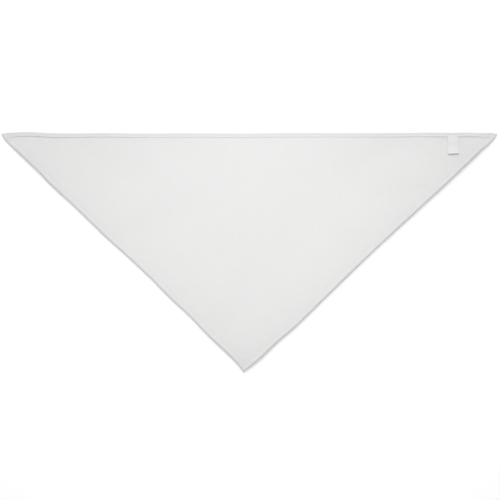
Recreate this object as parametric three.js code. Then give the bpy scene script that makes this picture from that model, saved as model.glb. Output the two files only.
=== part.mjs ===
// A triangular neckerchief of plain woven cotton, lying open with its turned hems up: a long edge cut
// across the threads, which goes round the neck, two short edges cut along them, and a folded satin
// label sewn on beside one tip. Millimetres, +Z up, resting on z = 0, centred over the origin.

import * as THREE from "three";

// Driving dimensions
const LONG_EDGE = 1002; // from tip to tip
const DEPTH = 481.5; // from the line of the tips to the apex
const APEX_SHIFT = -10; // how far the apex lies to one side of the middle
const CLOTH_WALL = 1;
const HEM_WALL = 1; // the turned part of a hem, and its fold round the edge of the cloth
const FOLD_BEVEL = 0.35; // takes the corners off the fold
const LONG_HEM_WIDTH = 8.5;
const SIDE_HEM_WIDTH = 7;
const SEAM_GAP = 0.3; // clearance between layers that are sewn together
const LAP_CLEARANCE = 0.8; // how far a hem stays raised past the hem that it crosses
const LAP_RAMP = 12; // the length over which it comes down again
const LABEL_WIDTH = 20.6;
const LABEL_LENGTH = 36.5; // from the sewn end to the fold
const LABEL_FROM_TIP = 92.1; // from the right tip to the middle of the label
const LABEL_INSET = 5.2; // from the long edge to the sewn end
const LABEL_TURN = 0.8; // degrees that the label swings outwards
const LABEL_WALL = 1;
const LABEL_SLOT = 1.2; // opening of the loop at its fold
const LABEL_SEWN = 10; // length over which the two layers of the loop are pressed together
const LABEL_STEP = 7; // length over which the label comes down from the hem to the cloth
const LABEL_CURL = 2; // how far the fold stands up
const LABEL_CURL_LENGTH = 9;

// How the cloth lies: how far its edges stray from straight and stand off the surface, and how far
// in from the edge that reaches. The tables below hold shares of EDGE_STRAY and EDGE_LIFT.
const EDGE_STRAY = 5;
const STRAY_REACH = 120;
const EDGE_LIFT = 5;
const LIFT_REACH = 150;
const EDGE_ROLL = 0.13; // share of its lift by which the edge rolls over again
const ROLL_REACH = 22;
const RIPPLE_HEIGHT = 0.8;

// Steps of the meshes
const STATION_STEP = 16;
const LABEL_STEPS = 4; // across the label
const LABEL_ROWS = 14; // down the label
const FOLD_STEPS = 6; // round the label's fold

// The cloth is drawn as it was cut, with the tips on y = 0, and then laid down.
const LEFT_TIP = new THREE.Vector2(-LONG_EDGE / 2, 0);
const RIGHT_TIP = new THREE.Vector2(LONG_EDGE / 2, 0);
const APEX = new THREE.Vector2(APEX_SHIFT, -DEPTH);

// The edges run anticlockwise, seen from above. Each row is a place along the edge: a share of its
// length, how far it strays outwards there (share of EDGE_STRAY) and how far it stands off the
// surface (share of EDGE_LIFT).
const LONG_ROWS = [
  { along: 0, out: 0, lift: 0 },
  { along: 0.02, out: 1.25, lift: 0.12 },
  { along: 0.053, out: 1.35, lift: 0.22 },
  { along: 0.093, out: 0.82, lift: 0.2 },
  { along: 0.13, out: 0.67, lift: 0.16 },
  { along: 0.194, out: 0.45, lift: 0.1 },
  { along: 0.255, out: 0.4, lift: 0.06 },
  { along: 0.396, out: 0.42, lift: 0.04 },
  { along: 0.55, out: 0.27, lift: 0.06 },
  { along: 0.62, out: 0.33, lift: 0.04 },
  { along: 0.72, out: 0.25, lift: 0.06 },
  { along: 0.8, out: 0.45, lift: 0.2 },
  { along: 0.84, out: 0.3, lift: 0.16 },
  { along: 0.89, out: 0.5, lift: 0.2 },
  { along: 0.922, out: 1.19, lift: 0.26 },
  { along: 0.95, out: 1.7, lift: 0.26 },
  { along: 0.984, out: 1.01, lift: 0.08 },
  { along: 1, out: 0, lift: 0 },
];
const LEFT_ROWS = [
  { along: 0, out: 0, lift: 0 },
  { along: 0.03, out: 1.4, lift: 0.05 },
  { along: 0.08, out: 1.38, lift: 0.42 },
  { along: 0.105, out: 1.11, lift: 0.5 },
  { along: 0.135, out: 0.76, lift: 0.53 },
  { along: 0.165, out: 0.48, lift: 0.55 },
  { along: 0.2, out: 0.54, lift: 0.55 },
  { along: 0.31, out: 0.09, lift: 0.57 },
  { along: 0.43, out: 0.01, lift: 0.55 },
  { along: 0.53, out: -0.55, lift: 0.56 },
  { along: 0.61, out: -0.75, lift: 0.58 },
  { along: 0.7, out: -0.58, lift: 0.55 },
  { along: 0.77, out: -0.88, lift: 0.58 },
  { along: 0.84, out: -0.51, lift: 0.56 },
  { along: 0.97, out: -0.62, lift: 0.5 },
  { along: 1, out: 0.02, lift: 0.2 },
];
const RIGHT_ROWS = [
  { along: 0, out: -0.33, lift: 0.2 },
  { along: 0.018, out: -0.08, lift: 0.5 },
  { along: 0.07, out: 0.33, lift: 0.76 },
  { along: 0.12, out: 0.21, lift: 0.78 },
  { along: 0.2, out: 0.69, lift: 0.74 },
  { along: 0.33, out: 0.42, lift: 0.75 },
  { along: 0.43, out: 0.17, lift: 0.75 },
  { along: 0.52, out: 0.1, lift: 0.73 },
  { along: 0.61, out: 0.2, lift: 0.77 },
  { along: 0.74, out: 0.44, lift: 0.75 },
  { along: 0.84, out: 0.71, lift: 0.74 },
  { along: 0.88, out: 0.98, lift: 0.74 },
  { along: 0.93, out: 1.27, lift: 0.66 },
  { along: 0.96, out: 1.62, lift: 0.35 },
  { along: 0.985, out: 0.92, lift: 0.04 },
  { along: 1, out: 0, lift: 0 },
];

// Soft ripples in the middle of the cloth: where each one's top is (across from the middle of the
// long edge as a share of it, down as a share of DEPTH), its half length and half width (shares of
// DEPTH), the turn of its length in degrees, and its height (share of RIPPLE_HEIGHT).
const RIPPLES = [
  { across: -0.2, down: 0.27, length: 0.3, width: 0.13, turn: 28, height: 1 },
  { across: 0.21, down: 0.36, length: 0.27, width: 0.13, turn: -42, height: 0.8 },
  { across: -0.05, down: 0.66, length: 0.2, width: 0.12, turn: 75, height: 0.9 },
  { across: 0.3, down: 0.17, length: 0.2, width: 0.09, turn: 12, height: 0.6 },
];

// The panel's rings, from its rim (0) to its middle (1).
const RING_SHARES = [0, 0.035, 0.08, 0.14, 0.21, 0.3, 0.41, 0.55, 0.76, 1];

function makeEdge(from, to, hemWidth, rows) {
  const length = from.distanceTo(to);
  const along = to.clone().sub(from).divideScalar(length);
  const inward = new THREE.Vector2(-along.y, along.x);
  const places = rows.map((row) => row.along);
  const out = new THREE.CubicInterpolant(places, rows.map((row) => row.out), 1);
  const lift = new THREE.CubicInterpolant(places, rows.map((row) => row.lift), 1);
  return { from, to, length, along, inward, hemWidth, out, lift };
}

const RIGHT_EDGE = makeEdge(APEX, RIGHT_TIP, SIDE_HEM_WIDTH, RIGHT_ROWS);
const TOP_EDGE = makeEdge(RIGHT_TIP, LEFT_TIP, LONG_HEM_WIDTH, LONG_ROWS);
const LEFT_EDGE = makeEdge(LEFT_TIP, APEX, SIDE_HEM_WIDTH, LEFT_ROWS);
const EDGES = [RIGHT_EDGE, TOP_EDGE, LEFT_EDGE];

// 1 along the edge, easing to 0 at reach.
function fade(inset, reach) {
  return 1 - THREE.MathUtils.smoothstep(inset, 0, reach);
}

function rippleHeight(cut) {
  let height = 0;
  for (const ripple of RIPPLES) {
    const top = new THREE.Vector2(ripple.across * LONG_EDGE, -ripple.down * DEPTH);
    const from = cut.clone().rotateAround(top, -THREE.MathUtils.degToRad(ripple.turn)).sub(top);
    const x = from.x / (ripple.length * DEPTH);
    const y = from.y / (ripple.width * DEPTH);
    height += ripple.height * RIPPLE_HEIGHT * Math.max(0, 1 - x * x - y * y) ** 2;
  }
  return height;
}

// Where a point of the cut cloth comes to lie, at a height above the underside of the cloth.
function laid(cut, height) {
  const place = cut.clone();
  let lifts = 0;
  for (const edge of EDGES) {
    const fromCorner = cut.clone().sub(edge.from);
    const inset = fromCorner.dot(edge.inward);
    const share = fromCorner.dot(edge.along) / edge.length;
    const stray = edge.out.evaluate(share)[0] * EDGE_STRAY * fade(inset, STRAY_REACH);
    place.addScaledVector(edge.inward, -stray);
    const roll = EDGE_ROLL * Math.max(0, 1 - inset / ROLL_REACH) ** 2;
    const risen = fade(inset, LIFT_REACH) - roll;
    lifts += (edge.lift.evaluate(share)[0] * EDGE_LIFT * risen) ** 3;
  }
  return new THREE.Vector3(place.x, place.y, height + Math.cbrt(lifts) + rippleHeight(cut));
}

// Moves every vertex of a geometry to where place puts it.
function reshape(geometry, place) {
  const position = geometry.attributes.position;
  const vertex = new THREE.Vector3();
  for (let i = 0; i < position.count; i++) {
    vertex.fromBufferAttribute(position, i);
    position.setXYZ(i, ...place(vertex, i));
  }
  geometry.computeVertexNormals();
  return geometry;
}

function named(name, geometry, material) {
  const mesh = new THREE.Mesh(geometry, material);
  mesh.name = name;
  return mesh;
}

// The cloth itself: a turned disc of rings, eased into the triangle inside the folds of the hems.
function clothPanel() {
  const rim = HEM_WALL + SEAM_GAP;
  const perimeter = RIGHT_EDGE.length + TOP_EDGE.length + LEFT_EDGE.length;
  const middle = new THREE.Vector2()
    .addScaledVector(APEX, TOP_EDGE.length / perimeter)
    .addScaledVector(LEFT_TIP, RIGHT_EDGE.length / perimeter)
    .addScaledVector(RIGHT_TIP, LEFT_EDGE.length / perimeter);
  const middleInset = middle.clone().sub(TOP_EDGE.from).dot(TOP_EDGE.inward);
  const rimShare = rim / middleInset;

  const outline = [];
  for (const edge of EDGES) {
    const steps = Math.round(edge.length / STATION_STEP);
    for (let i = 0; i < steps; i++) {
      outline.push(edge.from.clone().lerp(edge.to, i / steps));
    }
  }
  const underside = RING_SHARES.map((share) => new THREE.Vector2(1 - share, 0)).reverse();
  const topSide = RING_SHARES.map((share) => new THREE.Vector2(1 - share, CLOTH_WALL));
  const profile = [...underside, ...topSide];
  const disc = new THREE.LatheGeometry(profile, outline.length);
  return reshape(disc, (vertex, i) => {
    const station = Math.floor(i / profile.length) % outline.length;
    const ring = profile[i % profile.length];
    const cut = middle.clone().lerp(outline[station], ring.x * (1 - rimShare));
    return laid(cut, ring.y);
  });
}

// One end of a hem, at a corner that it shares with its neighbour: it either laps over the
// neighbour's hem as far as the fold, or is tucked under it and stops short of the fold.
function hemEnd(edge, neighbour, laps) {
  const atStart = edge.from === neighbour.to;
  const angle = Math.PI - edge.along.angleTo(neighbour.along);
  const short = laps ? 0 : HEM_WALL + SEAM_GAP;
  const lap = (neighbour.hemWidth + LAP_CLEARANCE) / Math.sin(angle);
  const cutBack = (inset) => (inset * Math.cos(angle) + short) / Math.sin(angle);
  return { atStart, laps, lap, cutBack };
}

// Places along a hem, and whether it is raised there to cross another hem.
function hemStations(edge, start, end) {
  const first = start.lap + LAP_RAMP;
  const last = edge.length - end.lap - LAP_RAMP;
  const steps = Math.round((last - first) / STATION_STEP);
  const stations = [
    { at: 0, raised: start.laps },
    { at: start.lap, raised: start.laps },
  ];
  for (let i = 0; i <= steps; i++) {
    stations.push({ at: first + ((last - first) * i) / steps, raised: false });
  }
  stations.push({ at: edge.length - end.lap, raised: end.laps });
  stations.push({ at: edge.length, raised: end.laps });
  return stations;
}

// A turned hem: a strip on the cloth whose outer edge folds down round the edge of the cloth.
function turnedHem(edge, start, end) {
  const under = CLOTH_WALL + SEAM_GAP;
  const top = under + HEM_WALL;
  const section = new THREE.Shape([
    new THREE.Vector2(edge.hemWidth, under),
    new THREE.Vector2(edge.hemWidth, top),
    new THREE.Vector2(FOLD_BEVEL, top),
    new THREE.Vector2(0, top - FOLD_BEVEL),
    new THREE.Vector2(0, FOLD_BEVEL),
    new THREE.Vector2(FOLD_BEVEL, 0),
    new THREE.Vector2(HEM_WALL, 0),
    new THREE.Vector2(HEM_WALL, under),
  ]);
  const stations = hemStations(edge, start, end);
  const steps = stations.length - 1;
  const strip = new THREE.ExtrudeGeometry(section, { steps, depth: steps, bevelEnabled: false });
  return reshape(strip, ({ x: inset, y: height, z }) => {
    const station = stations[Math.round(z)];
    const from = start.cutBack(inset);
    const to = edge.length - end.cutBack(inset);
    const at = THREE.MathUtils.lerp(from, to, station.at / edge.length);
    const cut = edge.from.clone().addScaledVector(edge.along, at);
    cut.addScaledVector(edge.inward, inset);
    const raised = station.raised && height > CLOTH_WALL / 2;
    return laid(cut, raised ? height + HEM_WALL + SEAM_GAP : height);
  });
}

// The underside of the label: over the hem, down on to the cloth, and up again towards the fold.
function labelRest(down) {
  const leavesHem = LONG_HEM_WIDTH - LABEL_INSET + SEAM_GAP;
  const step = THREE.MathUtils.smoothstep(down, leavesHem, leavesHem + LABEL_STEP);
  const curl = Math.max(0, down - LABEL_LENGTH + LABEL_CURL_LENGTH) / LABEL_CURL_LENGTH;
  const overHem = HEM_WALL + SEAM_GAP;
  return CLOTH_WALL + SEAM_GAP + overHem * (1 - step) + LABEL_CURL * curl ** 2;
}

// Points down the label, round a fold of the given radius and back, around the slot of the loop.
function labelLoop(from, wall, slotHeight) {
  const foldRadius = LABEL_SLOT / 2 + wall;
  const foldAt = LABEL_LENGTH - LABEL_SLOT / 2 - LABEL_WALL;
  const lower = [];
  const upper = [];
  for (let i = 0; i <= LABEL_ROWS; i++) {
    const down = THREE.MathUtils.lerp(from, foldAt, i / LABEL_ROWS);
    const slotFloor = labelRest(down) + LABEL_WALL;
    lower.push(new THREE.Vector2(down, slotFloor - wall));
    upper.unshift(new THREE.Vector2(down, slotFloor + slotHeight(down) + wall));
  }
  const fold = [];
  for (let i = 1; i < FOLD_STEPS; i++) {
    const turn = Math.PI * (i / FOLD_STEPS - 1 / 2);
    const centre = labelRest(foldAt) + LABEL_WALL + LABEL_SLOT / 2;
    const x = foldAt + foldRadius * Math.cos(turn);
    fold.push(new THREE.Vector2(x, centre + foldRadius * Math.sin(turn)));
  }
  return [...lower, ...fold, ...upper];
}

// A ribbon folded into a loop, with both ends sewn on top of the long hem.
function careLabel() {
  const slotHeight = (down) => {
    const open = THREE.MathUtils.smoothstep(down, LABEL_SEWN, LABEL_LENGTH);
    return LABEL_SLOT * open;
  };
  const section = new THREE.Shape(labelLoop(0, LABEL_WALL, slotHeight));
  const slot = labelLoop(LABEL_SEWN, 0, slotHeight);
  slot.pop(); // the slot closes to a line where the layers meet
  section.holes.push(new THREE.Path(slot));
  const extrusion = { steps: LABEL_STEPS, depth: LABEL_WIDTH, bevelEnabled: false };
  const ribbon = new THREE.ExtrudeGeometry(section, extrusion);
  const sewnEnd = new THREE.Vector2(RIGHT_TIP.x - LABEL_FROM_TIP, -LABEL_INSET);
  return reshape(ribbon, ({ x: down, y: height, z }) => {
    const across = LABEL_WIDTH / 2 - z;
    const cut = new THREE.Vector2(sewnEnd.x + across, sewnEnd.y - down);
    cut.rotateAround(sewnEnd, THREE.MathUtils.degToRad(LABEL_TURN));
    return laid(cut, height);
  });
}

const clothFinish = new THREE.MeshStandardMaterial({ color: 0xe8e8e6, roughness: 0.9 });
const hemFinish = new THREE.MeshStandardMaterial({ color: 0xe3e3e1, roughness: 0.9 });
const satinFinish = new THREE.MeshStandardMaterial({ color: 0xeff0ee, roughness: 0.45 });

// The long edge is hemmed first, then the left edge over its end, then the right edge over both.
const longHem = turnedHem(
  TOP_EDGE,
  hemEnd(TOP_EDGE, RIGHT_EDGE, false),
  hemEnd(TOP_EDGE, LEFT_EDGE, false),
);
const leftHem = turnedHem(
  LEFT_EDGE,
  hemEnd(LEFT_EDGE, TOP_EDGE, true),
  hemEnd(LEFT_EDGE, RIGHT_EDGE, false),
);
const rightHem = turnedHem(
  RIGHT_EDGE,
  hemEnd(RIGHT_EDGE, LEFT_EDGE, true),
  hemEnd(RIGHT_EDGE, TOP_EDGE, true),
);

const neckerchief = new THREE.Group();
neckerchief.add(
  named("cloth_panel", clothPanel(), clothFinish),
  named("long_edge_hem", longHem, hemFinish),
  named("left_side_hem", leftHem, hemFinish),
  named("right_side_hem", rightHem, hemFinish),
  named("care_label", careLabel(), satinFinish),
);

const bounds = new THREE.Box3().setFromObject(neckerchief);
const centre = bounds.getCenter(new THREE.Vector3());
neckerchief.position.set(-centre.x, -centre.y, -bounds.min.z);

export default neckerchief;
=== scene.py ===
import math
from itertools import pairwise
from types import SimpleNamespace

import bmesh
import bpy
from mathutils import Matrix, Vector, noise


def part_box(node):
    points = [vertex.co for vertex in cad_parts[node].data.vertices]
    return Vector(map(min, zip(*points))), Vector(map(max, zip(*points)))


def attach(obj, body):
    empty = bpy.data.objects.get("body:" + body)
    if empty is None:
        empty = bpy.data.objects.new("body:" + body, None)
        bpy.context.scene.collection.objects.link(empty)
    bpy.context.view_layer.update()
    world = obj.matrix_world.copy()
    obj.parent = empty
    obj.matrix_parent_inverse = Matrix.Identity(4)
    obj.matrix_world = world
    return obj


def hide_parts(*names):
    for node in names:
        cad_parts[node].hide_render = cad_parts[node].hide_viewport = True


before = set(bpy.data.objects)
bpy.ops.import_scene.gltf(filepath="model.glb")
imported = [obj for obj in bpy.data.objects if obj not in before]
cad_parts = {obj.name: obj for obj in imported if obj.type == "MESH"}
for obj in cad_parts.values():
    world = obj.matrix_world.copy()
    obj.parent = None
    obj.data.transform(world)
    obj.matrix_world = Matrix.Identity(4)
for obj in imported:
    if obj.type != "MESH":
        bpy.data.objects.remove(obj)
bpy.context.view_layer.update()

# The cloth: half a square of bleached plain-weave cotton, cut slantwise across its threads for the
# long edge and along them for the two short sides. It lies open on the table and nearly flat, with
# its edges straying a little from straight and standing a little off the surface. Metres.
LONG_EDGE = 1.002
DEPTH = 0.4815
APEX_SHIFT = -0.01
CLOTH_THICKNESS = 0.0005
RIM_TUCK = 0.0009  # the cloth's rim lies this far inside the fold of its hems
CLOTH_CELL = 0.0046
SAME_POINT = 0.000001  # points nearer than this are one
EDGE_STRAY = 0.005
STRAY_REACH = 0.12
EDGE_LIFT = 0.005
LIFT_REACH = 0.15
LIFT_BLEND = 3  # the higher, the less the lifts of two edges add up in a corner
EDGE_ROLL = 0.13  # share of the lift by which the rim rolls down again, and how far in it starts
ROLL_REACH = 0.022
RIPPLE_HEIGHT = 0.0008
SLACK_HEIGHT = 0.0001  # the faint unevenness of ironed cloth
SLACK_WIDTH = 0.035
CLOTH_WHITE = (0.632, 0.632, 0.628, 1)
COTTON_ROUGHNESS = 0.88
COTTON_GLOSS = 0.25
COTTON_SHEEN = 0.12
SHEEN_ROUGHNESS = 0.6
THREAD_PITCH = 0.00045
THREAD_WANDER = 5  # how far the threads stray from straight, in radians of the weave
WANDER_SCALE = 260
SLUB_SCALES = ((60, 1100, 1), (1100, 60, 1))  # long along a thread and short across it
SLUB_RANGE = (0.7, 1.3)
SLUB_TONES = (0.985, 1.015)
CREASE_SCALE = 45
CREASE_DETAIL = 3
WEAVE_RELIEF = 0.00004
SLUB_RELIEF = 0.00006
CREASE_RELIEF = 0.0004

# Each row is a place along an edge, how far the edge strays outwards there and how far it stands
# off the surface, as shares of the lengths above. The edges run anticlockwise, seen from above.
LONG_ROWS = [
    (0, 0, 0),
    (0.02, 1.25, 0.12),
    (0.053, 1.35, 0.22),
    (0.093, 0.82, 0.2),
    (0.13, 0.67, 0.16),
    (0.194, 0.45, 0.1),
    (0.255, 0.4, 0.06),
    (0.396, 0.42, 0.04),
    (0.55, 0.27, 0.06),
    (0.62, 0.33, 0.04),
    (0.72, 0.25, 0.06),
    (0.8, 0.45, 0.2),
    (0.84, 0.3, 0.16),
    (0.89, 0.5, 0.2),
    (0.922, 1.19, 0.26),
    (0.95, 1.7, 0.26),
    (0.984, 1.01, 0.08),
    (1, 0, 0),
]
LEFT_ROWS = [
    (0, 0, 0),
    (0.03, 1.4, 0.05),
    (0.08, 1.38, 0.42),
    (0.105, 1.11, 0.5),
    (0.135, 0.76, 0.53),
    (0.165, 0.48, 0.55),
    (0.2, 0.54, 0.55),
    (0.31, 0.09, 0.57),
    (0.43, 0.01, 0.55),
    (0.53, -0.55, 0.56),
    (0.61, -0.75, 0.58),
    (0.7, -0.58, 0.55),
    (0.77, -0.88, 0.58),
    (0.84, -0.51, 0.56),
    (0.97, -0.62, 0.5),
    (1, 0.02, 0.2),
]
RIGHT_ROWS = [
    (0, -0.33, 0.2),
    (0.018, -0.08, 0.5),
    (0.07, 0.33, 0.76),
    (0.12, 0.21, 0.78),
    (0.2, 0.69, 0.74),
    (0.33, 0.42, 0.75),
    (0.43, 0.17, 0.75),
    (0.52, 0.1, 0.73),
    (0.61, 0.2, 0.77),
    (0.74, 0.44, 0.75),
    (0.84, 0.71, 0.74),
    (0.88, 0.98, 0.74),
    (0.93, 1.27, 0.66),
    (0.96, 1.62, 0.35),
    (0.985, 0.92, 0.04),
    (1, 0, 0),
]

# Soft ripples: across, down, half length, half width, turn in degrees, height.
RIPPLES = [
    (-0.2, 0.27, 0.3, 0.13, 28, 1),
    (0.21, 0.36, 0.27, 0.13, -42, 0.8),
    (-0.05, 0.66, 0.2, 0.12, 75, 0.9),
    (0.3, 0.17, 0.2, 0.09, 12, 0.6),
]

left_tip = Vector((-LONG_EDGE / 2, 0))
right_tip = Vector((LONG_EDGE / 2, 0))
apex = Vector((APEX_SHIFT, -DEPTH))


def smooth_curve(points):
    """A smooth curve through (place, value) points: each slope is the mean of its neighbours'."""
    chords = [(b[1] - a[1]) / (b[0] - a[0]) for a, b in pairwise(points)]
    slopes = [chords[0], *((a + b) / 2 for a, b in pairwise(chords)), chords[-1]]

    def value(place):
        place = min(max(place, points[0][0]), points[-1][0])
        k = next(i for i in range(len(chords)) if place <= points[i + 1][0])
        (start, low), (end, high) = points[k], points[k + 1]
        width = end - start
        t = (place - start) / width
        rise = (high - low) / width
        bend = slopes[k] + slopes[k + 1] - 2 * rise
        return low + width * t * (slopes[k] + t * (3 * rise - 2 * slopes[k] - slopes[k + 1] + t * bend))

    return value


def cloth_edge(start, end, rows):
    """An edge of the cut cloth, with how far it strays and how far it lifts along its length."""
    along = (end - start).normalized()
    return SimpleNamespace(
        start=start,
        end=end,
        length=(end - start).length,
        along=along,
        inward=Vector((-along.y, along.x)),
        stray=smooth_curve([(row[0], row[1]) for row in rows]),
        lift=smooth_curve([(row[0], row[2]) for row in rows]),
    )


right_edge = cloth_edge(apex, right_tip, RIGHT_ROWS)
long_edge = cloth_edge(right_tip, left_tip, LONG_ROWS)
left_edge = cloth_edge(left_tip, apex, LEFT_ROWS)


def ease(value, low, high):
    """Rises smoothly from 0 at the low value to 1 at the high one."""
    t = min(max((value - low) / (high - low), 0), 1)
    return t * t * (3 - 2 * t)


def fade(inset, reach):
    """1 along an edge, easing to 0 at reach."""
    return 1 - ease(inset, 0, reach)


def ripple_height(cut):
    height = 0
    for across, down, length, width, turn, share in RIPPLES:
        offset = cut - Vector((across * LONG_EDGE, -down * DEPTH))
        offset.rotate(Matrix.Rotation(math.radians(-turn), 2))
        x = offset.x / (length * DEPTH)
        y = offset.y / (width * DEPTH)
        height += share * RIPPLE_HEIGHT * max(0, 1 - x * x - y * y) ** 2
    return height


def slack_height(cut):
    spot = Vector((cut.x / SLACK_WIDTH, cut.y / SLACK_WIDTH, 0))
    return SLACK_HEIGHT * (1 + noise.noise(spot))


def lay(cut, height):
    """Where a point of the cut cloth comes to lie, at a height above the cloth's underside."""
    place = cut.copy()
    lifts = 0
    for edge in (right_edge, long_edge, left_edge):
        from_corner = cut - edge.start
        inset = from_corner.dot(edge.inward)
        share = from_corner.dot(edge.along) / edge.length
        place -= edge.inward * (edge.stray(share) * EDGE_STRAY * fade(inset, STRAY_REACH))
        roll = EDGE_ROLL * max(0, 1 - inset / ROLL_REACH) ** 2
        lifts += (edge.lift(share) * EDGE_LIFT * (fade(inset, LIFT_REACH) - roll)) ** LIFT_BLEND
    rise = lifts ** (1 / LIFT_BLEND) + ripple_height(cut) + slack_height(cut)
    return Vector((place.x, place.y, height + rise)) + tips_line


# Moves the laid cloth to where the part's own hems have its left tip and its apex.
tips_line = Vector((0, 0, 0))
tips_line.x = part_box("left_side_hem")[0].x - lay(left_tip, 0).x
tips_line.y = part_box("right_side_hem")[0].y - lay(apex, 0).y


def along_threads(cut):
    """A point of the cut cloth as lengths along its two sets of threads, from the apex."""
    from_apex = cut - apex
    left, right = -left_edge.along, right_edge.along
    area = left.cross(right)
    return from_apex.cross(right) / area, left.cross(from_apex) / area


def lay_piece(mesh, folded_edge=None):
    """Lays a cut piece, modelled flat with its height above the cloth's underside as z."""
    threads = mesh.loops.layers.uv.new("threads")
    fold = mesh.loops.layers.uv.new("fold") if folded_edge else None
    for face in mesh.faces:
        for corner in face.loops:
            cut = corner.vert.co.xy
            corner[threads].uv = along_threads(cut)
            if fold:
                from_corner = cut - folded_edge.start
                corner[fold].uv = from_corner.dot(folded_edge.inward), from_corner.dot(folded_edge.along)
    for vert in mesh.verts:
        vert.co = lay(vert.co.xy, vert.co.z)


def add_piece(name, mesh, material, *, replaces):
    """Makes a finished mesh an object that rides on the part and stands for its solid."""
    data = bpy.data.meshes.new(name)
    mesh.to_mesh(data)
    mesh.free()
    data.shade_smooth()
    data.materials.append(material)
    piece = bpy.data.objects.new(name, data)
    bpy.context.collection.objects.link(piece)
    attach(piece, "root")
    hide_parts(replaces)
    return piece


def new_material(name, colour, roughness):
    material = bpy.data.materials.new(name)
    material.use_nodes = True
    shader = material.node_tree.nodes["Principled BSDF"]
    shader.inputs["Base Color"].default_value = colour
    shader.inputs["Roughness"].default_value = roughness
    return material, shader


def maths(tree, operation, first, second=None):
    """A Math node on two values, each a socket or a number."""
    node = tree.nodes.new("ShaderNodeMath")
    node.operation = operation
    for socket, value in zip(node.inputs, (first, second)):
        if isinstance(value, bpy.types.NodeSocket):
            tree.links.new(value, socket)
        elif value is not None:
            socket.default_value = value
    return node.outputs[0]


def noise_pattern(tree, coordinates, scale, detail=2.0):
    node = tree.nodes.new("ShaderNodeTexNoise")
    node.inputs["Scale"].default_value = scale
    node.inputs["Detail"].default_value = detail
    tree.links.new(coordinates, node.inputs["Vector"])
    return node.outputs["Fac"]


def bump(tree, height, distance, below=None):
    """A bump of this height in metres, laid over the bump below it."""
    node = tree.nodes.new("ShaderNodeBump")
    node.inputs["Distance"].default_value = distance
    tree.links.new(height, node.inputs["Height"])
    if below is not None:
        tree.links.new(below, node.inputs["Normal"])
    return node.outputs["Normal"]


def map_range(tree, value, source, target):
    node = tree.nodes.new("ShaderNodeMapRange")
    for name, number in zip(("From Min", "From Max", "To Min", "To Max"), (*source, *target)):
        node.inputs[name].default_value = number
    tree.links.new(value, node.inputs["Value"])
    return node.outputs["Result"]


def tint(tree, tone, colour, shader):
    """Gives the shader a colour whose brightness varies with tone."""
    mix = tree.nodes.new("ShaderNodeMix")
    mix.data_type = "RGBA"
    mix.blend_type = "MULTIPLY"
    mix.inputs["Factor"].default_value = 1
    mix.inputs["A"].default_value = colour
    tree.links.new(tone, mix.inputs["B"])
    tree.links.new(mix.outputs["Result"], shader.inputs["Base Color"])


def woven_cotton(name, colour, painted_fold_shade=None):
    """Plain weave with uneven threads, on the thread map, and the faint creases of ironed cloth. Given
    painted_fold_shade, painted shade darkens it towards a hem's folded edge.
    """
    material, shader = new_material(name, colour, COTTON_ROUGHNESS)
    shader.inputs["Specular IOR Level"].default_value = COTTON_GLOSS
    shader.inputs["Sheen Weight"].default_value = COTTON_SHEEN
    shader.inputs["Sheen Roughness"].default_value = SHEEN_ROUGHNESS
    tree = material.node_tree
    uv = tree.nodes.new("ShaderNodeUVMap")
    uv.uv_map = "threads"
    split = tree.nodes.new("ShaderNodeSeparateXYZ")
    tree.links.new(uv.outputs["UV"], split.inputs["Vector"])
    wander = noise_pattern(tree, uv.outputs["UV"], WANDER_SCALE)
    wander = maths(tree, "MULTIPLY", wander, THREAD_WANDER)
    waves = []
    for axis in "XY":
        turns = maths(tree, "MULTIPLY", split.outputs[axis], math.pi / THREAD_PITCH)
        waves.append(maths(tree, "SINE", maths(tree, "ADD", turns, wander)))
    weave = maths(tree, "MULTIPLY", *waves)
    slubs = []
    for stretch in SLUB_SCALES:
        mapping = tree.nodes.new("ShaderNodeMapping")
        mapping.inputs["Scale"].default_value = stretch
        tree.links.new(uv.outputs["UV"], mapping.inputs["Vector"])
        slubs.append(noise_pattern(tree, mapping.outputs["Vector"], 1))
    threads = maths(tree, "ADD", *slubs)
    creases = noise_pattern(tree, uv.outputs["UV"], CREASE_SCALE, CREASE_DETAIL)
    surface = bump(tree, creases, CREASE_RELIEF)
    surface = bump(tree, threads, SLUB_RELIEF, surface)
    surface = bump(tree, weave, WEAVE_RELIEF, surface)
    tree.links.new(surface, shader.inputs["Normal"])
    tone = map_range(tree, threads, SLUB_RANGE, SLUB_TONES)
    # Painted shade: the colour darkens towards the hem's folded edge, by the fold map's distance in.
    if painted_fold_shade:
        fold = tree.nodes.new("ShaderNodeUVMap")
        fold.uv_map = "fold"
        inset = tree.nodes.new("ShaderNodeSeparateXYZ")
        tree.links.new(fold.outputs["UV"], inset.inputs["Vector"])
        shade, reach = painted_fold_shade
        tone = maths(tree, "MULTIPLY", tone, map_range(tree, inset.outputs["X"], (0, reach), (shade, 1)))
    tint(tree, tone, colour, shader)
    return material


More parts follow.
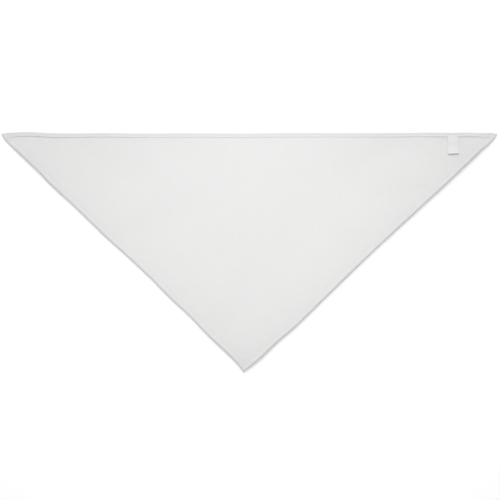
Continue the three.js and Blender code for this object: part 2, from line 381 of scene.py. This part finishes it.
def panel_mesh():
    """A grid along the threads, as wide as both short sides, cut off along the long edge."""
    # The middle lies equally far from all three edges, so the rim is tucked in evenly.
    sides = (left_edge.length, long_edge.length, right_edge.length)
    middle = (apex * sides[1] + left_tip * sides[2] + right_tip * sides[0]) / sum(sides)
    rim_share = RIM_TUCK / (middle - apex).dot(left_edge.inward)
    inner_left, inner_right, inner_apex = (
        corner.lerp(middle, rim_share) for corner in (left_tip, right_tip, apex)
    )
    mesh = bmesh.new()
    cells = round(left_edge.length / CLOTH_CELL)
    bmesh.ops.create_grid(mesh, x_segments=cells, y_segments=cells, size=0.5)
    for vert in mesh.verts:
        left, right = vert.co.x + 0.5, vert.co.y + 0.5
        spot = inner_apex + (inner_left - inner_apex) * left + (inner_right - inner_apex) * right
        vert.co = spot.to_3d()
    everything = [*mesh.verts, *mesh.edges, *mesh.faces]
    bmesh.ops.bisect_plane(
        mesh,
        geom=everything,
        dist=SAME_POINT,
        plane_co=inner_left.to_3d(),
        plane_no=(0, 1, 0),
        clear_outer=True,
    )
    bmesh.ops.recalc_face_normals(mesh, faces=mesh.faces)
    if next(iter(mesh.faces)).normal.z < 0:
        bmesh.ops.reverse_faces(mesh, faces=mesh.faces)
    return mesh


panel = panel_mesh()
lay_piece(panel)
cotton = woven_cotton("bleached cotton", CLOTH_WHITE)
cloth = add_piece("cloth", panel, cotton, replaces="cloth_panel")
thickness = cloth.modifiers.new("cloth thickness", "SOLIDIFY")
thickness.thickness = CLOTH_THICKNESS
thickness.offset = 1

# The hems: each edge of the cloth is turned over to this side twice and stitched down, which makes
# a rounded fold at the edge and a raised band beside it. The long edge is hemmed first, then the
# left side over its end, then the right side over both, so the bands cross at the corners.
LONG_HEM_WIDTH = 0.0085
SIDE_HEM_WIDTH = 0.007
HEM_STATION = 0.002
HEM_CROSSING = 0.0005
LAP_CLEARANCE = 0.001
LAP_RAMP = 0.012
FLAT_LOFT = 0.5  # share of the full height where the edge lies flat, and its gain with the lift
LOFT_GAIN = 2.0
TIP_PRESS = 0.6  # share of the height lost where the two tips are pressed flat
TIP_FLAT = 0.0125
TIP_REACH = 0.05
PUCKER_HEIGHT = 0.00012
PUCKER_LENGTH = 0.009
PUCKER_RISE = 0.001  # height above which the puckers show in full
PUCKER_SEED = 7
HEM_WHITE = (0.642, 0.642, 0.637, 1)
# Painted shade on the hems: how dark their colour gets at the folded edge, and how far in it fades out.
PAINTED_FOLD_SHADE = 0.86
FOLD_REACH = 0.006

# Round the hem's section: inset as a share of the width, height.
HEM_SECTION = [
    (0.16, 0.0),
    (0.08, 0.0),
    (0.02, 0.0002),
    (0.0, 0.0005),
    (0.02, 0.0009),
    (0.08, 0.0012),
    (0.17, 0.00138),
    (0.3, 0.00143),
    (0.45, 0.0014),
    (0.6, 0.00136),
    (0.7, 0.0013),
    (0.76, 0.00122),
    (0.82, 0.00128),
    (0.92, 0.0013),
    (0.98, 0.00124),
    (1.0, 0.00105),
    (1.0, 0.00075),
    (0.98, 0.0006),
    (0.5, 0.00058),
    (0.17, 0.00058),
]


def hem_end(edge, neighbour, neighbour_width, laps):
    """How a hem ends where another meets it: lapping over it, or tucked under it."""
    angle = math.pi - edge.along.angle(neighbour.along)
    short = 0 if laps else RIM_TUCK
    lap = (neighbour_width + LAP_CLEARANCE) / math.sin(angle) if laps else 0
    return SimpleNamespace(
        laps=laps, lap=lap, cut_back=lambda inset: (inset * math.cos(angle) + short) / math.sin(angle)
    )


def crossing(edge, at, start, end):
    """How far the hem is raised at a place along it to cross its neighbours."""
    rise = 0
    for hem_stop, distance in ((start, at), (end, edge.length - at)):
        if hem_stop.laps:
            rise = max(rise, HEM_CROSSING * (1 - ease(distance, hem_stop.lap, hem_stop.lap + LAP_RAMP)))
    return rise


def hem_point(edge, start, end, at, inset, height):
    """A point of a hem, as cut: plan position and height above the cloth's underside."""
    first = start.cut_back(inset)
    last = edge.length - end.cut_back(inset)
    spot = edge.start + edge.along * (first + (last - first) * at / edge.length) + edge.inward * inset
    if height > CLOTH_THICKNESS:
        from_tip = min((spot - left_tip).length, (spot - right_tip).length)
        pressed = TIP_PRESS * (1 - ease(from_tip, TIP_FLAT, TIP_REACH))
        loft = (1 - pressed) * min(1, FLAT_LOFT + LOFT_GAIN * edge.lift(at / edge.length))
        height = CLOTH_THICKNESS + (height - CLOTH_THICKNESS) * loft + crossing(edge, at, start, end)
    return Vector((spot.x, spot.y, height))


def turned_hem(edge, width, start, end):
    """A strip of stations by section points, closed along its seam and over its ends."""
    stations = round(edge.length / HEM_STATION)
    mesh = bmesh.new()
    ring = len(HEM_SECTION)
    bmesh.ops.create_grid(mesh, x_segments=stations, y_segments=ring, size=0.5)
    for vert in mesh.verts:
        at = (vert.co.x + 0.5) * edge.length
        share, height = HEM_SECTION[round((vert.co.y + 0.5) * ring) % ring]
        flutter = noise.noise(Vector((at / PUCKER_LENGTH, share, edge.length * PUCKER_SEED)))
        bulge = PUCKER_HEIGHT * flutter * min(1, height / PUCKER_RISE)
        vert.co = hem_point(edge, start, end, at, share * width, height + bulge)
    bmesh.ops.remove_doubles(mesh, verts=mesh.verts, dist=SAME_POINT)
    bmesh.ops.holes_fill(mesh, edges=mesh.edges)
    bmesh.ops.recalc_face_normals(mesh, faces=mesh.faces)
    return mesh


# The hems' cotton, with painted shade along its folded edges.
folded_cotton = woven_cotton("folded cotton", HEM_WHITE, painted_fold_shade=(PAINTED_FOLD_SHADE, FOLD_REACH))
hems = [
    SimpleNamespace(
        name="long_edge_hem",
        edge=long_edge,
        width=LONG_HEM_WIDTH,
        start=hem_end(long_edge, right_edge, SIDE_HEM_WIDTH, False),
        end=hem_end(long_edge, left_edge, SIDE_HEM_WIDTH, False),
    ),
    SimpleNamespace(
        name="left_side_hem",
        edge=left_edge,
        width=SIDE_HEM_WIDTH,
        start=hem_end(left_edge, long_edge, LONG_HEM_WIDTH, True),
        end=hem_end(left_edge, right_edge, SIDE_HEM_WIDTH, False),
    ),
    SimpleNamespace(
        name="right_side_hem",
        edge=right_edge,
        width=SIDE_HEM_WIDTH,
        start=hem_end(right_edge, left_edge, SIDE_HEM_WIDTH, True),
        end=hem_end(right_edge, long_edge, LONG_HEM_WIDTH, True),
    ),
]
for hem in hems:
    strip = turned_hem(hem.edge, hem.width, hem.start, hem.end)
    lay_piece(strip, hem.edge)
    add_piece(hem.name.replace("_", "-"), strip, folded_cotton, replaces=hem.name)

# The care label: a blank white satin ribbon folded into a loop, a little askew. Its two ends lie on
# top of the long hem near the right tip, and the hem's stitching runs across them. It steps down
# from the hem to the cloth, and its fold curls up. Painted shade darkens the ribbon round its fold.
LABEL_WIDTH = 0.0206
LABEL_LENGTH = 0.0365
LABEL_FROM_TIP = 0.0921
LABEL_INSET = 0.0052
LABEL_TURN = 0.8
LABEL_SKEW = 0.035
RIBBON_THICKNESS = 0.00015
RIBBON_PRESSED = 2.25 * RIBBON_THICKNESS  # both layers where they are sewn down
LABEL_ON_HEM = 0.0014  # height of its underside there, and its gap to the cloth further down
LABEL_GAP = 0.0001
LABEL_SEWN = 0.01
LABEL_BRIDGE = 0.005  # how far it runs on level past the hem
LABEL_STEP = 0.016
LABEL_CURL = 0.0005
LABEL_CURL_LENGTH = 0.007
LABEL_LOOP = 0.0008
LABEL_WHITE = (0.648, 0.653, 0.645, 1)
# Painted shade round the ribbon's fold: how dark, how far from the middle of the fold, and how much further
# it fades out.
LABEL_PAINTED_SHADE = 0.12
LABEL_PAINTED_SHADE_REACH = 0.0585  # share of the ribbon's rows of faces, from the middle of the fold
LABEL_PAINTED_SHADE_BLUR = 1.2
LABEL_THREADS = 60
LABEL_RELIEF = 0.00001
SATIN_ROUGHNESS = 0.42
SATIN_SHEEN = 0.2
RIBBON_ROWS = 30
RIBBON_COLUMNS = 12
RIBBON_FOLD = 8
RIBBON_CREASE = 60  # degrees above which an edge of the ribbon is sharp

sewn_end = Vector((right_tip.x - LABEL_FROM_TIP, -LABEL_INSET))
label_turn = Matrix.Rotation(math.radians(LABEL_TURN), 2)


def ribbon_rest(down):
    """Height of the ribbon's underside: over the hem, down on to the cloth, and up to the fold."""
    hem_left = LONG_HEM_WIDTH - LABEL_INSET
    step_at = hem_left + LABEL_BRIDGE
    off_hem = ease(down, step_at, step_at + LABEL_STEP)
    curl = max(0, down - LABEL_LENGTH + LABEL_CURL_LENGTH) / LABEL_CURL_LENGTH
    on_cloth = CLOTH_THICKNESS + LABEL_GAP
    return LABEL_ON_HEM + (on_cloth - LABEL_ON_HEM) * off_hem + LABEL_CURL * curl**2


def ribbon_path():
    """Down the lower layer, round the fold and back along the upper layer: (down, height)."""
    fold_at = LABEL_LENGTH - LABEL_LOOP / 2
    lower, upper = [], []
    for i in range(RIBBON_ROWS):
        down = fold_at * i / (RIBBON_ROWS - 1)
        gap = RIBBON_PRESSED + (LABEL_LOOP - RIBBON_PRESSED) * ease(down, LABEL_SEWN, LABEL_LENGTH)
        lower.append((down, ribbon_rest(down)))
        upper.append((down, ribbon_rest(down) + gap))
    middle = (lower[-1][1] + upper[-1][1]) / 2
    radius = upper[-1][1] - middle
    fold = []
    for i in range(1, RIBBON_FOLD):
        turn = math.pi * (i / RIBBON_FOLD - 0.5)
        fold.append((fold_at + radius * math.cos(turn), middle + radius * math.sin(turn)))
    return lower + fold + upper[::-1]


def label_mesh():
    """A grid bent along the ribbon's path, then given its thickness inwards."""
    path = ribbon_path()
    mesh = bmesh.new()
    mesh.loops.layers.uv.new("UVMap")
    bmesh.ops.create_grid(mesh, x_segments=RIBBON_COLUMNS, y_segments=len(path) - 1, size=0.5, calc_uvs=True)
    for vert in mesh.verts:
        down, height = path[round((vert.co.y + 0.5) * (len(path) - 1))]
        across = vert.co.x * LABEL_WIDTH
        askew = LABEL_SKEW * across * down / LABEL_LENGTH
        spot = sewn_end + label_turn @ Vector((across, askew - down))
        vert.co = Vector((spot.x, spot.y, height))
    mesh.normal_update()
    bmesh.ops.solidify(mesh, geom=mesh.faces, thickness=RIBBON_THICKNESS)
    bmesh.ops.recalc_face_normals(mesh, faces=mesh.faces)
    return mesh


def label_top(spot):
    """Height of the label's upper side over a spot of the cut hem, or 0 beside its sewn end."""
    across, up = label_turn.inverted() @ (spot.xy - sewn_end)
    over = abs(across) < LABEL_WIDTH / 2 and 0 < -up < LABEL_SEWN
    return ribbon_rest(-up) + RIBBON_PRESSED if over else 0


def satin_ribbon():
    """Smooth ribbon with fine lengthwise threads, with painted shade darkening it round its fold."""
    material, shader = new_material("satin ribbon", LABEL_WHITE, SATIN_ROUGHNESS)
    shader.inputs["Sheen Weight"].default_value = SATIN_SHEEN
    tree = material.node_tree
    uv = tree.nodes.new("ShaderNodeUVMap")
    uv.uv_map = "UVMap"
    split = tree.nodes.new("ShaderNodeSeparateXYZ")
    tree.links.new(uv.outputs["UV"], split.inputs["Vector"])
    # Painted shade: the colour darkens near the middle of the ribbon's path, where the fold is.
    from_fold = maths(tree, "ABSOLUTE", maths(tree, "SUBTRACT", split.outputs["Y"], 0.5))
    blurred = (LABEL_PAINTED_SHADE_REACH, LABEL_PAINTED_SHADE_BLUR * LABEL_PAINTED_SHADE_REACH)
    shade = map_range(tree, from_fold, blurred, (LABEL_PAINTED_SHADE, 1))
    threads = maths(tree, "SINE", maths(tree, "MULTIPLY", split.outputs["X"], math.tau * LABEL_THREADS))
    tree.links.new(bump(tree, threads, LABEL_RELIEF), shader.inputs["Normal"])
    tint(tree, shade, LABEL_WHITE, shader)
    return material


satin = satin_ribbon()
ribbon = label_mesh()
lay_piece(ribbon)
label = add_piece("care-label", ribbon, satin, replaces="care_label")
label.data.set_sharp_from_angle(angle=math.radians(RIBBON_CREASE))

# The stitching: a row of lockstitch in white polyester thread along the inner fold of each hem,
# through all the layers, so that it shows on both sides of the cloth. The long hem's row runs over
# the ends of the label, which it holds.
STITCH_PITCH = 0.0028
STITCH_LENGTH = 0.0024
STITCH_WIDTH = 0.0004
STITCH_HEIGHT = 0.0003
STITCH_SHARE = 0.76  # of the hem's width
STITCH_TOP = 0.00126
STITCH_UNDER = -0.00002
STITCHES_SHORT = 2  # the row stops this many stitches before each corner
THREAD_WHITE = (0.66, 0.66, 0.65, 1)
THREAD_ROUGHNESS = 0.6


def stitch_shape():
    """One stitch: a slim pad along X, whose ends sink into the cloth."""
    mesh = bmesh.new()
    size = Matrix.Diagonal((STITCH_LENGTH / 2, STITCH_WIDTH / 2, STITCH_HEIGHT / 2, 1))
    bmesh.ops.create_uvsphere(mesh, u_segments=6, v_segments=5, radius=1, matrix=size)
    shape = bpy.data.meshes.new("stitch")
    mesh.to_mesh(shape)
    mesh.free()
    return shape


def add_stitch(mesh, stitch, start, end):
    """Adds a copy of the stitch, midway between two points of the row."""
    direction = (end - start).normalized()
    side = Vector((0, 0, 1)).cross(direction).normalized()
    turn = Matrix((direction, side, direction.cross(side))).transposed().to_4x4()
    place = Matrix.Translation((start + end) / 2) @ turn
    stitch.transform(place)
    mesh.from_mesh(stitch)
    stitch.transform(place.inverted())


def stitch_row(hem, stitch):
    """The stitches of one hem, on its upper side and on the cloth's underside."""
    mesh = bmesh.new()
    count = round(hem.edge.length / STITCH_PITCH)
    pitch = hem.edge.length / count
    inset = STITCH_SHARE * hem.width
    for height in (STITCH_TOP, STITCH_UNDER):
        for k in range(STITCHES_SHORT, count - STITCHES_SHORT):
            ends = []
            for at in (k * pitch, (k + 1) * pitch):
                spot = hem_point(hem.edge, hem.start, hem.end, at, inset, height)
                if height == STITCH_TOP:
                    spot.z = max(spot.z, label_top(spot))
                ends.append(lay(spot.xy, spot.z))
            add_stitch(mesh, stitch, *ends)
    return mesh


thread, _ = new_material("sewing thread", THREAD_WHITE, THREAD_ROUGHNESS)
stitch = stitch_shape()
for hem in hems:
    row = stitch_row(hem, stitch)
    name = hem.name.replace("_hem", "_stitching").replace("_", "-")
    add_piece(name, row, thread, replaces=hem.name)
bpy.data.meshes.remove(stitch)

# The table that the cloth lies open on: a wide, plain white surface without gloss. It is a hair
# below the stitches on the cloth's underside.
FLOOR_SIZE = 8.0
FLOOR_DROP = 0.0002
FLOOR_WHITE = (0.97, 0.97, 0.97, 1)
FLOOR_ROUGHNESS = 0.9

floor_mesh = bmesh.new()
floor_place = Matrix.Translation((0, 0, -FLOOR_DROP))
bmesh.ops.create_grid(floor_mesh, x_segments=1, y_segments=1, size=FLOOR_SIZE / 2, matrix=floor_place)
floor_data = bpy.data.meshes.new("floor")
floor_mesh.to_mesh(floor_data)
floor_mesh.free()
floor_white, floor_shader = new_material("white table", FLOOR_WHITE, FLOOR_ROUGHNESS)
floor_shader.inputs["Specular IOR Level"].default_value = 0
floor_data.materials.append(floor_white)
floor = bpy.data.objects.new("floor", floor_data)
bpy.context.collection.objects.link(floor)

# The light: a soft lamp low beyond the long edge and a little to the left, a small one straight
# above the cloth and just inside the middle of that edge, and a room with bright walls.
KEY_DIRECTION = Vector((-0.06, 1.0, 0.39))
KEY_SPREAD = 34
KEY_STRENGTH = 2.45
TOP_PLACE = Vector((0.005, 0.19, 0.8))
TOP_SIZE = 0.4
TOP_POWER = 3.0
ROOM_BRIGHTNESS = 0.38
WALL_BRIGHTNESS = 1.9
WALL_TOP = 0.7  # as the sine of its height above the horizon

key_data = bpy.data.lights.new("key", "SUN")
key_data.angle = math.radians(KEY_SPREAD)
key_data.energy = KEY_STRENGTH
key = bpy.data.objects.new("key", key_data)
key.rotation_euler = KEY_DIRECTION.to_track_quat("Z", "Y").to_euler()
bpy.context.collection.objects.link(key)

top_data = bpy.data.lights.new("top", "AREA")
top_data.shape = "DISK"
top_data.size = TOP_SIZE
top_data.energy = TOP_POWER
top = bpy.data.objects.new("top", top_data)
top.location = TOP_PLACE
top.visible_camera = False
bpy.context.collection.objects.link(top)

room = bpy.data.worlds.new("room")
room.use_nodes = True
room_tree = room.node_tree
background = room_tree.nodes["Background"]
background.inputs["Color"].default_value = (1, 1, 1, 1)
direction = room_tree.nodes.new("ShaderNodeTexCoord")
height = room_tree.nodes.new("ShaderNodeSeparateXYZ")
room_tree.links.new(direction.outputs["Generated"], height.inputs["Vector"])
walls = map_range(room_tree, height.outputs["Z"], (0, WALL_TOP), (WALL_BRIGHTNESS, ROOM_BRIGHTNESS))
room_tree.links.new(walls, background.inputs["Strength"])
bpy.context.scene.world = room
bpy.context.scene.view_settings.view_transform = "Standard"

# The camera looks straight down from almost three metres up, on a spot near the cloth's middle.
# Lens and sensor are in millimetres.
LENS = 100
SENSOR = 36
VIEW_WIDTH = 1.009
AIM = Vector((0.0017, 0.0034, 0.002))

camera_data = bpy.data.cameras.new("camera")
camera_data.lens = LENS
camera_data.sensor_width = SENSOR
camera = bpy.data.objects.new("camera", camera_data)
camera.location = AIM + Vector((0, 0, VIEW_WIDTH * LENS / SENSOR))
bpy.context.collection.objects.link(camera)
bpy.context.scene.camera = camera
